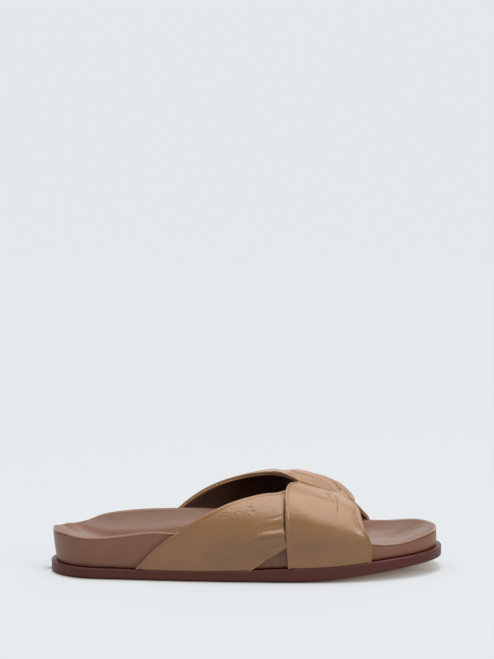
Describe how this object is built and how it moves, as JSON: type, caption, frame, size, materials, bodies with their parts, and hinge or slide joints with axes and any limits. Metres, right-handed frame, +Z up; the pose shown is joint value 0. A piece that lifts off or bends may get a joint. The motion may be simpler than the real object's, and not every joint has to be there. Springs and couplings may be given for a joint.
{
  "type": "slide sandal",
  "caption": "Right-foot slide sandal: a cupped footbed on a thin rubber outsole, with padded leather bands that cross and loop through each other over the forefoot.",
  "frame": {"origin": "on the floor, under the middle of the outsole's length", "axes": "+X from heel to toe, +Y to the inner side of the foot, +Z up"},
  "size_m": [0.264, 0.0937, 0.0658],
  "materials": {
    "outsole": "matt moulded rubber",
    "midsole": "smooth leather wrapped over a light core",
    "insole": "smooth leather sock",
    "upper": "soft padded leather with a satin sheen"
  },
  "bodies": {
    "root": {"outsole": "outsole", "midsole": "midsole", "insole": "insole", "upper": "upper"}
  },
  "joints": []
}
